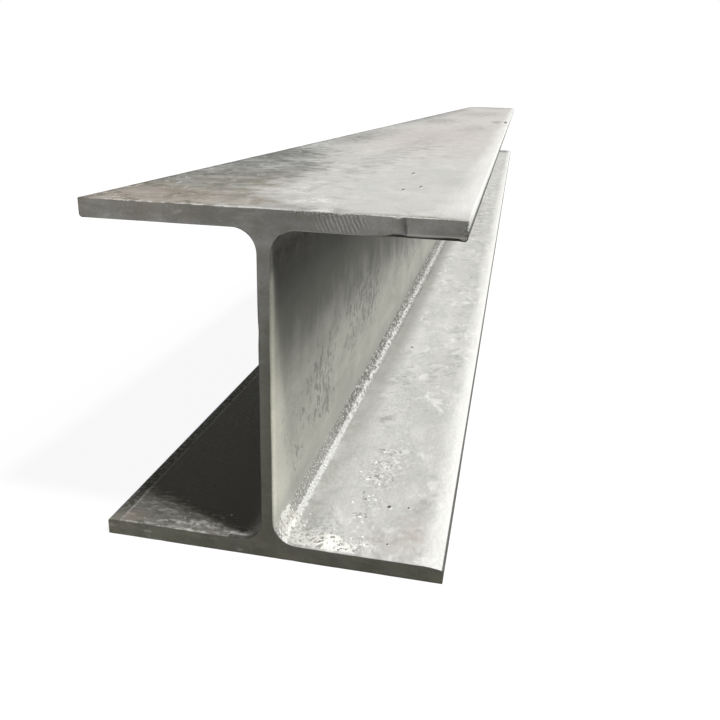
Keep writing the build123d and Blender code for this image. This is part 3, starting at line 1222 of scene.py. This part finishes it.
def loose_scale(colours):
    """Mill scale, from chalky white to grey, each flake with a shade of its own."""
    coat = Coat("loose_scale")
    clouds, grain, height = coat.shared("mottle", coat.where, 160.0, 900.0)
    shade = clouds.scaled(0.3, coat.layer("shade"))
    coat.colour = shade.mix(colours.scale_dark, colours.scale_light)
    return coat.finished(grain.ramp(0.0, 1.0, 0.5, 0.7), colours.skin_metal, height, 0.0001)


def shown(name, data):
    """A new object, put into the scene."""
    thing = bpy.data.objects.new(name, data)
    bpy.context.scene.collection.objects.link(thing)
    return thing


def stand(name, mesh, *materials):
    """Puts a mesh into the scene as a piece of the beam."""
    for material in materials:
        mesh.materials.append(material)
    piece = shown(name, mesh)
    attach(piece, "root")
    return piece


def flake_mesh(name, spots, facing, along, sizes, shades, draw):
    """Thin plates with six uneven corners, a raised middle and their undersides in the surface.

    A corner lies at the spot plus its radius times (cos a along the beam + sin a across it), and
    the plate is tipped by a small share of its radius.
    """
    count, corners = len(spots), FLAKE_CORNERS
    across = np.cross(facing, along)
    angle = np.linspace(0, 2 * np.pi, corners, endpoint=False)
    angle = angle + draw.uniform(-0.35, 0.35, (count, corners))
    reach = sizes[:, None] * draw.uniform(0.55, 1.0, (count, corners))
    stretched = draw.uniform(0.3, 1.0, (count, 1))
    first, second = reach * np.cos(angle), reach * np.sin(angle) * stretched
    tip = draw.normal(0, 0.16, (count, 2))
    rise = first * tip[:, :1] + second * tip[:, 1:]
    thick = 0.00012 + 0.09 * sizes[:, None]
    sink = (0.35 * sizes)[:, None, None]
    flat = spots[:, None] + first[..., None] * along[:, None] + second[..., None] * across[:, None]
    upper = flat + (np.clip(rise, -0.2 * thick, None) + thick)[..., None] * facing[:, None]
    lower = flat - sink * facing[:, None]
    peak = (spots + facing * (1.35 * thick))[:, None]
    base = spots[:, None] - facing[:, None] * sink
    points = np.concatenate([upper, lower, peak, base], axis=1)
    here = np.arange(corners)
    there = (here + 1) % corners
    top = np.stack([np.full(corners, 2 * corners), here, there], axis=1)
    side = np.stack([here, here + corners, there + corners, there], axis=1)
    foot = np.stack([np.full(corners, 2 * corners + 1), there + corners, here + corners], axis=1)
    starts = (np.arange(count) * points.shape[1])[:, None, None]
    groups = [((part[None] + starts).reshape(-1, part.shape[1]), 0) for part in (top, side, foot)]
    mesh = filled_mesh(name, points.reshape(-1, 3), groups, rounded=False)
    store(mesh, "shade", np.repeat(shades, points.shape[1]))
    return mesh


def channel_spots(section, run, along, side=1):
    """Places and normals in a lower channel, found from the way round it that root_run measures."""
    radius = section.root_radius
    turn = np.clip(math.pi / 4 + run / radius, 0, math.pi / 2)
    over = run - radius * (turn - math.pi / 4)
    facing = np.stack([np.cos(turn), 0 * turn, np.sin(turn)], axis=-1)
    middle = np.array([section.web / 2 + radius, 0.0, section.flange + radius])
    onward = np.stack([np.maximum(over, 0), along, np.maximum(-over, 0)], axis=-1)
    return (middle - radius * facing + onward) * (side, 1, 1), facing * (side, 1, 1)


# The crust's reach into the beam at places round the channel, and its hills: middle and reach round
# the channel and along it, height and tone.
CRUST_EDGE = (
    (-0.017, -0.012, -0.008, -0.002, 0.003, 0.008, 0.014, 0.02, 0.028, 0.036, 0.042, 0.05, 0.06),
    (0.006, 0.022, 0.036, 0.046, 0.044, 0.034, 0.027, 0.024, 0.025, 0.025, 0.019, 0.011, 0.005),
)
CRUST_HILLS = [
    ((0.033, 0.008), (0.009, 0.013), 0.0014, 0.9),
    ((0.043, 0.004), (0.010, 0.007), 0.0011, 0.9),
    ((0.001, 0.014), (0.008, 0.022), 0.0006, 0.22),
    ((0.003, 0.018), (0.0025, 0.024), 0.0008, 0.5),
    ((-0.007, 0.026), (0.005, 0.014), 0.0006, 0.36),
    ((0.015, 0.009), (0.010, 0.011), 0.0008, 0.42),
]
CRUST_STEPS = (220, 110)
CRUST_START = 0.0014


def crust_mesh(name, section):
    """A crumbling crust of scale in the right root beside the near end: two sheets with one rim.

    The grid runs round the channel from the web to the flange, and from the sawn edge as far in as
    the crust reaches there. The upper sheet stands off the steel by its hills times ridged waves,
    less a little, so that it dives into the steel where the hills end; the lower one lies in it.
    """
    run = np.linspace(CRUST_EDGE[0][0], CRUST_EDGE[0][-1], CRUST_STEPS[0] + 1)
    edge = np.interp(run, *CRUST_EDGE) * (1 + 0.12 * waves(run[:, None], 0.012, 3, 61))
    round_share, share = even(CRUST_STEPS[0])[:, None], even(CRUST_STEPS[1])
    along = CRUST_START + share * (edge[:, None] - CRUST_START)
    run = run[:, None] + 0 * along
    spots, facing = channel_spots(section, run, along)
    ground = np.stack([run, along], axis=-1)
    shaded_crease = np.abs(waves(ground, 0.009, 5, 67))
    height, tone = 0 * run, 0.05 + 0 * run
    for middle, reach, rise, pale in CRUST_HILLS:
        bell = np.exp(-(((ground - middle) / reach) ** 2).sum(axis=-1))
        height = np.maximum(height, rise * bell)
        tone = np.maximum(tone, pale * np.sqrt(bell))
    inside = window(share, 0.0, 0.12, 0.8, 1.0) * window(round_share, 0.0, 0.06, 0.94, 1.0)
    height = inside * height * (1.5 - 1.3 * np.clip(shaded_crease, 0, 1)) - 0.0004
    upper = spots + height[..., None] * facing
    lower = (spots - 0.0009 * facing)[1:-1, 1:-1]
    under = np.arange(run.size).reshape(run.shape)
    under[1:-1, 1:-1] = run.size + np.arange(lower[..., 0].size).reshape(lower.shape[:2])
    quads = grid_faces(*run.shape)
    points = np.concatenate([upper.reshape(-1, 3), lower.reshape(-1, 3)]) + LOW_END
    mesh = filled_mesh(name, points, [(quads, 0), (under.ravel()[quads[:, ::-1]], 0)])
    # Painted shade: the crust's creases are darkened, as shade in its crevices.
    shade = np.clip(1.15 * tone * (1 - 0.97 * smooth(shaded_crease, 0.22, 0.62)), 0, 1)
    store(mesh, "shade", np.concatenate([shade.ravel(), np.zeros(lower[..., 0].size)]))
    return mesh


# Heaps of loose chips on the lower flange: places across it and along it from the near end.
CHIPS = [
    (0.0595, 0.159),
    (0.0552, 0.134),
    (0.0665, 0.106),
    (0.0512, 0.110),
    (0.0542, 0.076),
    (0.0557, 0.050),
    (0.0666, 0.155),
    (0.0582, 0.012),
]
HEAP_FLAKES = 16
ROOT_FLAKES = 2200
NEAR_ROOT_FLAKES = 150
FLANGE_FLAKES = 110
LEFT_FLAKES = 45


def scattered_flakes(name, section):
    """Flakes along the right root and thicker at its near end, on the right flange and the left one.

    The way round the channel and along the beam are drawn for each set, and then sizes and shades.
    """
    draw = np.random.default_rng(23)
    laid = []

    def lay(run, along, small, large, pale, palest=1.0, dark=1.2, side=1):
        """Adds flakes between two sizes, with shades that lean to pale and dark ones as asked."""
        count = len(run)
        size = small + (large - small) * draw.uniform(0, 1, count) ** 2.2
        shade = palest * (0.12 + 0.88 * draw.beta(pale, dark, count))
        laid.append((*channel_spots(section, run, along, side), size, shade))

    flat = section.root_radius * math.pi / 4 - section.web / 2 - section.root_radius
    along = draw.uniform(0.004, section.length - 0.004, ROOT_FLAKES)
    lay(draw.normal(0.0, 0.0032, ROOT_FLAKES), along, 0.0004, 0.0014, 0.8)
    along = 0.004 + draw.gamma(1.8, 0.009, NEAR_ROOT_FLAKES)
    lay(draw.normal(0.002, 0.006, NEAR_ROOT_FLAKES), along, 0.0004, 0.0016, 0.7, 0.8)
    run = flat + np.clip(0.024 + draw.gamma(2.4, 0.010, FLANGE_FLAKES), 0.024, 0.072)
    lay(run, 0.003 + draw.gamma(1.6, 0.004, FLANGE_FLAKES), 0.0004, 0.0018, 1.2)
    # The heaps' flakes are either pale or dark; the dark ones are partly dark scale and partly painted
    # shadows beside the pale ones.
    heap = np.repeat(np.array(CHIPS), HEAP_FLAKES, axis=0)
    heap = heap + draw.normal(0, 0.0042, heap.shape)
    lay(flat + heap[:, 0], np.maximum(heap[:, 1], 0.004), 0.0006, 0.0024, 0.35, 1.0, 0.3)
    run = flat + draw.uniform(0.026, 0.110, LEFT_FLAKES)
    lay(run, 0.003 + draw.gamma(1.5, 0.004, LEFT_FLAKES), 0.0004, 0.0014, 0.8, 0.35, side=-1)

    spots, facing, sizes, shades = (np.concatenate(kind) for kind in zip(*laid))
    turn = draw.uniform(0, 2 * np.pi, len(spots))[:, None]
    run = np.tile((0.0, 1.0, 0.0), (len(spots), 1))
    along = np.cos(turn) * run + np.sin(turn) * np.cross(facing, run)
    return flake_mesh(name, spots + LOW_END, facing, along, sizes, shades, draw)


class HBEAM_OT_roll_beam(Operator):
    """Carry the section along the beam, saw its ends and give it its mill skin"""

    bl_idname = "h_beam.roll_beam"
    bl_label = "Roll Beam"

    def execute(self, context):
        settings = context.scene.h_beam
        section, colours = settings.section, settings.colours
        mesh = rolled_beam_mesh(section, settings.relief)
        paint_attributes(mesh, section)
        beam = stand("rolled_beam", mesh, rolled_skin(colours, section), sawn_end(colours))
        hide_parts("h_beam")
        return {"FINISHED"}


class HBEAM_OT_scatter_scale(Operator):
    """Scatter loose scale along the roots and on the lower flange, and heap its crust"""

    bl_idname = "h_beam.scatter_scale"
    bl_label = "Scatter Scale"

    def execute(self, context):
        settings = context.scene.h_beam
        steel = loose_scale(settings.colours)
        stand("loose_scale", scattered_flakes("loose_scale", settings.section), steel)
        stand("scale_crust", crust_mesh("scale_crust", settings.section), steel)
        return {"FINISHED"}


def seen(tree):
    """1 for rays that look at a surface or its mirror image, 0 for rays that light one."""
    path = place(tree, "LightPath").outputs
    camera, glossy, through = (
        Wire(path["Is " + kind + " Ray"]) for kind in ("Camera", "Glossy", "Transmission")
    )
    return camera.highest(glossy.highest(through))


def studio_floor(studio):
    """A pale plane under the beam that looks white and keeps the beam's shadow."""
    corners = np.array([(-1, -1, 0), (1, -1, 0), (1, 1, 0), (-1, 1, 0)])
    points = FLOOR_REACH * corners + (0, 0, LOW[2])
    mesh = filled_mesh("studio_floor", points, [(np.array([[0, 1, 2, 3]]), 0)])
    material = bpy.data.materials.new("studio_floor")
    material.use_nodes = True
    tree = material.node_tree
    tree.nodes.remove(tree.nodes["Principled BSDF"])
    tone = (studio.floor_tone, studio.floor_tone, studio.floor_tone, 1.0)
    matt = place(tree, "BsdfDiffuse", {"Color": tone})
    glow = place(tree, "Emission", {"Strength": seen(tree) * studio.floor_glow})
    both = place(tree, "AddShader", {0: matt.outputs[0], 1: glow.outputs[0]})
    tree.links.new(both.outputs[0], tree.nodes["Material Output"].inputs["Surface"])
    mesh.materials.append(material)
    shown("studio_floor", mesh)


def studio_lamp(name, heading, height, spread, strength):
    """A far lamp, turned from the beam's right towards its near end and raised over the horizon."""
    light = bpy.data.lights.new(name, "SUN")
    light.angle = spread
    light.energy = strength
    level = math.cos(height)
    towards = Vector((level * math.cos(heading), -level * math.sin(heading), math.sin(height)))
    lamp = shown(name, light)
    lamp.rotation_mode = "QUATERNION"
    lamp.rotation_quaternion = towards.to_track_quat("Z", "Y")


def studio_world(studio):
    """White where it is seen and dim where it lights."""
    world = bpy.data.worlds.new("studio")
    world.use_nodes = True
    tree = world.node_tree
    dim = tree.nodes["Background"]
    dim.inputs["Color"].default_value = (1.0, 1.0, 1.0, 1.0)
    dim.inputs["Strength"].default_value = studio.ambient
    white = place(tree, "Background", {"Color": (1.0, 1.0, 1.0, 1.0), "Strength": 1.0})
    mixed = place(tree, "MixShader", {0: seen(tree), 1: dim.outputs[0], 2: white.outputs[0]})
    tree.links.new(mixed.outputs[0], tree.nodes["World Output"].inputs["Surface"])
    bpy.context.scene.world = world


def studio_camera(studio):
    """A camera that looks along the beam from its near end, turned left, down and about itself."""
    data = bpy.data.cameras.new("studio_camera")
    data.sensor_width = SENSOR_WIDTH
    data.lens = studio.lens
    data.shift_y = studio.shift
    data.clip_end = SIGHT_REACH
    camera = shown("studio_camera", data)
    turn = Matrix.Rotation(studio.heading, 4, "Z") @ Matrix.Rotation(math.pi / 2 - studio.tilt, 4, "X")
    turn = turn @ Matrix.Rotation(studio.roll, 4, "Z")
    spot = Vector(studio.camera_place) + Vector(LOW_END)
    camera.matrix_world = Matrix.Translation(spot) @ turn
    bpy.context.scene.camera = camera


class HBEAM_OT_set_stage(Operator):
    """Set the floor, the lamps, the world and the camera"""

    bl_idname = "h_beam.set_stage"
    bl_label = "Set Stage"

    def execute(self, context):
        studio = context.scene.h_beam.studio
        context.scene.view_settings.view_transform = "Standard"
        studio_floor(studio)
        studio_world(studio)
        key, low = studio.key_heading, studio.low_height
        for name, heading, height, spread, strength in (
            ("low_key", key, studio.low_key_height, studio.key_spread, studio.low_key_strength),
            ("high_key", key, studio.high_key_height, studio.key_spread, studio.high_key_strength),
            ("side", studio.side_heading, studio.side_height, studio.side_spread, studio.side_strength),
            ("end", studio.end_heading, low, studio.end_spread, studio.end_strength),
            ("fill", studio.fill_heading, low, studio.fill_spread, studio.fill_strength),
        ):
            studio_lamp(name, heading, height, spread, strength)
        studio_camera(studio)
        return {"FINISHED"}


class HBEAM_PT_sidebar(Panel):
    """Settings and steps of the H-beam"""

    bl_idname = "HBEAM_PT_sidebar"
    bl_label = "H-Beam"
    bl_space_type = "VIEW_3D"
    bl_region_type = "UI"
    bl_category = "H-Beam"

    def draw(self, context):
        settings = context.scene.h_beam
        for step in OPERATORS:
            self.layout.operator(step.bl_idname)
        for group in (settings.section, settings.relief, settings.colours, settings.studio):
            box = self.layout.box()
            for name in group.__annotations__:
                box.prop(group, name)


OPERATORS = (HBEAM_OT_roll_beam, HBEAM_OT_scatter_scale, HBEAM_OT_set_stage)
SETTINGS = (SectionSizes, ReliefSizes, SteelColours, StudioSizes, BeamSettings)


def register():
    """Registers the settings, the operators and the panel."""
    for made in (*SETTINGS, *OPERATORS, HBEAM_PT_sidebar):
        bpy.utils.register_class(made)
    bpy.types.Scene.h_beam = PointerProperty(type=BeamSettings)


def unregister():
    """Takes them out again."""
    del bpy.types.Scene.h_beam
    for made in reversed((*SETTINGS, *OPERATORS, HBEAM_PT_sidebar)):
        bpy.utils.unregister_class(made)


def main():
    register()
    bpy.ops.h_beam.roll_beam()
    bpy.ops.h_beam.scatter_scale()
    bpy.ops.h_beam.set_stage()
    bpy.context.view_layer.update()


if __name__ == "__main__":
    main()
